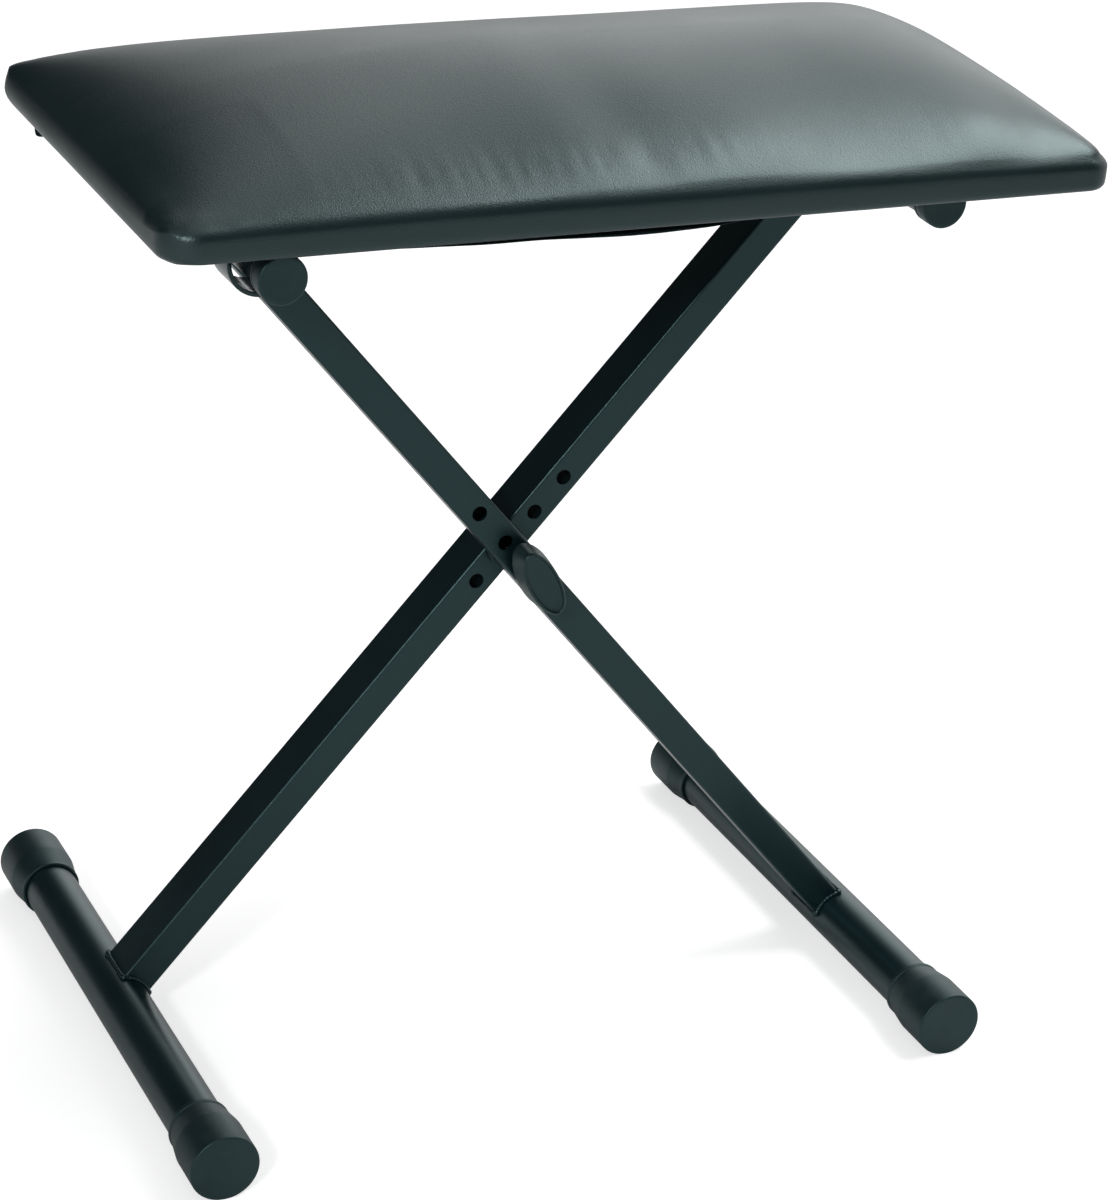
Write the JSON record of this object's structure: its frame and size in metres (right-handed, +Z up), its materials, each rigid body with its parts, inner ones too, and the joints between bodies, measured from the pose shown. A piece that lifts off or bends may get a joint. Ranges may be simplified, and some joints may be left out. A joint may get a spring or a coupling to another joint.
{
  "type": "folding keyboard bench",
  "caption": "Folding keyboard bench: crossed steel legs on a clamping bolt, with a padded seat hinged on one top bar and hooked over the other.",
  "frame": {"origin": "centre of the overall box in plan, on the floor", "axes": "+X along the seat, to the right seen from the front, +Y away from the front, +Z up"},
  "size_m": [0.536, 0.376, 0.5863],
  "materials": {
    "powder_coat": "satin black powder coat",
    "weld_bead": "coated weld bead",
    "cap_rubber": "matte moulded rubber",
    "knob_plastic": "satin moulded nylon",
    "zinc_steel": "bright zinc plate",
    "gloss_enamel": "gloss black enamel",
    "black_screw": "black oxide",
    "nylon_spacer": "plain nylon",
    "seat_vinyl": "semi-gloss black vinyl with a fine grain",
    "seat_foam": "open-cell foam",
    "plywood": "raw plywood",
    "lining_felt": "black non-woven lining"
  },
  "bodies": {
    "front_frame": {"front_leg_tube": "powder_coat", "front_leg_top_weld": "weld_bead", "front_leg_foot_weld": "weld_bead", "left_top_bar": "powder_coat", "left_top_cap_front": "cap_rubber", "left_top_cap_rear": "cap_rubber", "right_foot_bar": "powder_coat", "right_foot_cap_front": "cap_rubber", "right_foot_cap_rear": "cap_rubber"},
    "rear_frame": {"rear_leg_tube": "powder_coat", "rear_leg_top_weld": "weld_bead", "rear_leg_foot_weld": "weld_bead", "right_top_bar": "powder_coat", "right_top_cap_front": "cap_rubber", "right_top_cap_rear": "cap_rubber", "left_foot_bar": "powder_coat", "left_foot_cap_front": "cap_rubber", "left_foot_cap_rear": "cap_rubber", "leg_spacer": "nylon_spacer", "rear_washer": "zinc_steel", "lock_nut": "zinc_steel"},
    "seat": {"seat_cover": "seat_vinyl", "seat_foam": "seat_foam", "seat_board": "plywood", "seat_lining": "lining_felt", "bearing_plate_front": "gloss_enamel", "bearing_plate_rear": "gloss_enamel", "hinge_strap_front": "gloss_enamel", "hinge_strap_rear": "gloss_enamel", "saddle_hook_front": "gloss_enamel", "saddle_hook_rear": "gloss_enamel", "strap_front_screw_left": "black_screw", "strap_front_screw_right": "black_screw", "strap_rear_screw_left": "black_screw", "strap_rear_screw_right": "black_screw", "hook_front_screw_left": "black_screw", "hook_front_screw_right": "black_screw", "hook_rear_screw_left": "black_screw", "hook_rear_screw_right": "black_screw"},
    "bolt_slide": {"knob_washer": "zinc_steel"},
    "bolt": {"knob_stud": "zinc_steel", "clamp_knob": "knob_plastic"}
  },
  "joints": [
    {"name": "leg_fold", "type": "hinge", "parent": "front_frame", "child": "rear_frame", "pos_m": [-0.0075, -0.00875, 0.28272], "axis": [0, 1, 0], "range_deg": [0, 82]},
    {"name": "seat_tilt", "type": "hinge", "parent": "front_frame", "child": "seat", "pos_m": [-0.2035, -0.0235, 0.509], "axis": [0, -1, 0], "range_deg": [0, 100]},
    {"name": "bolt_pull", "type": "slide", "parent": "front_frame", "child": "bolt_slide", "axis": [0, -1, 0], "range_m": [0, 0.08]},
    {"name": "knob_turn", "type": "hinge", "parent": "bolt_slide", "child": "bolt", "pos_m": [-0.0075, -0.0445, 0.28272], "axis": [0, -1, 0], "continuous": true}
  ]
}
